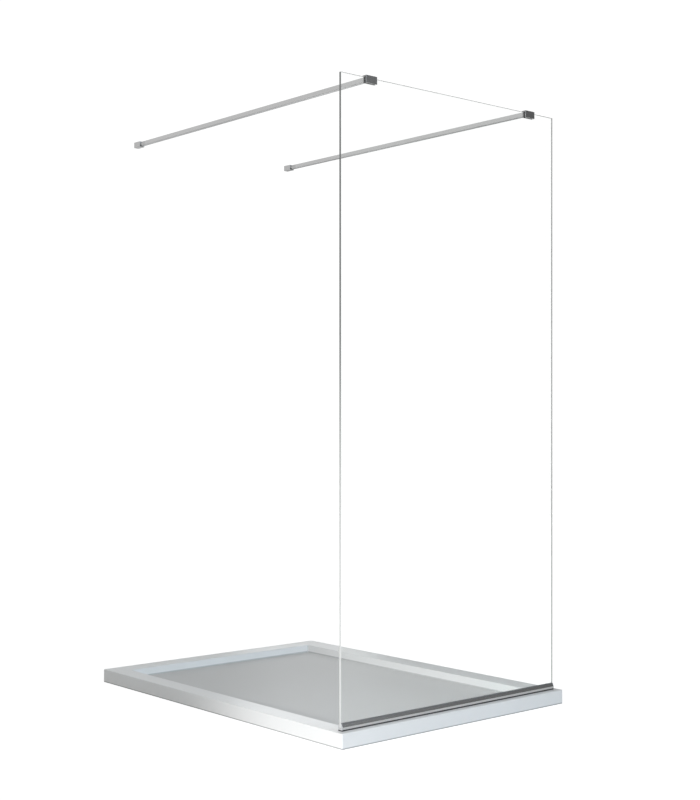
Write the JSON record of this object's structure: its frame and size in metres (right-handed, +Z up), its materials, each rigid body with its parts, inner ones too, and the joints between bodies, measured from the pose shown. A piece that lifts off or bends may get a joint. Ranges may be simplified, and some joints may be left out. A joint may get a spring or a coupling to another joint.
{
  "type": "walk-in shower screen",
  "caption": "Frameless glass shower screen standing in a metal channel on a low tray, held at the top by square bars that swivel on wall blocks.",
  "frame": {"origin": "middle of the tray's underside", "axes": "+X along the glass, to the right seen from outside; +Y from the glass to the wall; +Z up"},
  "size_m": [1, 1.4, 2.0465],
  "materials": {
    "tray_white": "gloss white gelcoat on cast stone resin",
    "black_rubber": "matt black",
    "grey_rubber": "soft grey, slightly translucent",
    "waste_steel": "brushed",
    "waste_chrome": "polished",
    "channel_aluminium": "satin anodised",
    "bar_aluminium": "satin anodised",
    "clamp_metal": "polished",
    "fork_metal": "polished",
    "block_metal": "polished",
    "stainless_steel": "plain",
    "dark_plastic": "plain",
    "cap_plastic": "light grey",
    "clear_glass": "clear toughened, faint green edge"
  },
  "bodies": {
    "screen": {"shower_tray": "tray_white", "waste_seal": "black_rubber", "waste_flange": "waste_steel", "bedding_strip": "black_rubber", "floor_channel": "channel_aluminium", "channel_end_caps": "cap_plastic", "channel_screws": "stainless_steel", "setting_blocks": "dark_plastic", "outer_gasket": "grey_rubber", "inner_gasket": "grey_rubber", "glass_panel": "clear_glass", "near_clamp_body": "clamp_metal", "near_clamp_liner": "grey_rubber", "near_clamp_screws": "stainless_steel", "near_support_bar": "bar_aluminium", "near_bar_screws": "stainless_steel", "near_bar_fork": "fork_metal", "near_pivot_pin": "stainless_steel", "far_clamp_body": "clamp_metal", "far_clamp_liner": "grey_rubber", "far_clamp_screws": "stainless_steel", "far_support_bar": "bar_aluminium", "far_bar_screws": "stainless_steel", "far_bar_fork": "fork_metal", "far_pivot_pin": "stainless_steel"},
    "near_wall_bracket": {"near_wall_block": "block_metal", "near_wall_boss": "dark_plastic", "near_wall_grub_screw": "stainless_steel"},
    "far_wall_bracket": {"far_wall_block": "block_metal", "far_wall_boss": "dark_plastic", "far_wall_grub_screw": "stainless_steel"},
    "waste_cover": {"waste_cover": "waste_chrome"}
  },
  "joints": [
    {"name": "near_bracket_swivel", "type": "hinge", "parent": "screen", "child": "near_wall_bracket", "pos_m": [-0.36, 0.6455, 2.036], "axis": [0, 0, 1], "range_deg": [-45, 45]},
    {"name": "far_bracket_swivel", "type": "hinge", "parent": "screen", "child": "far_wall_bracket", "pos_m": [0.36, 0.6455, 2.036], "axis": [0, 0, 1], "range_deg": [-45, 45]},
    {"name": "waste_cover_lift", "type": "slide", "parent": "screen", "child": "waste_cover", "axis": [0, 0, 1], "range_m": [0, 0.06]}
  ]
}
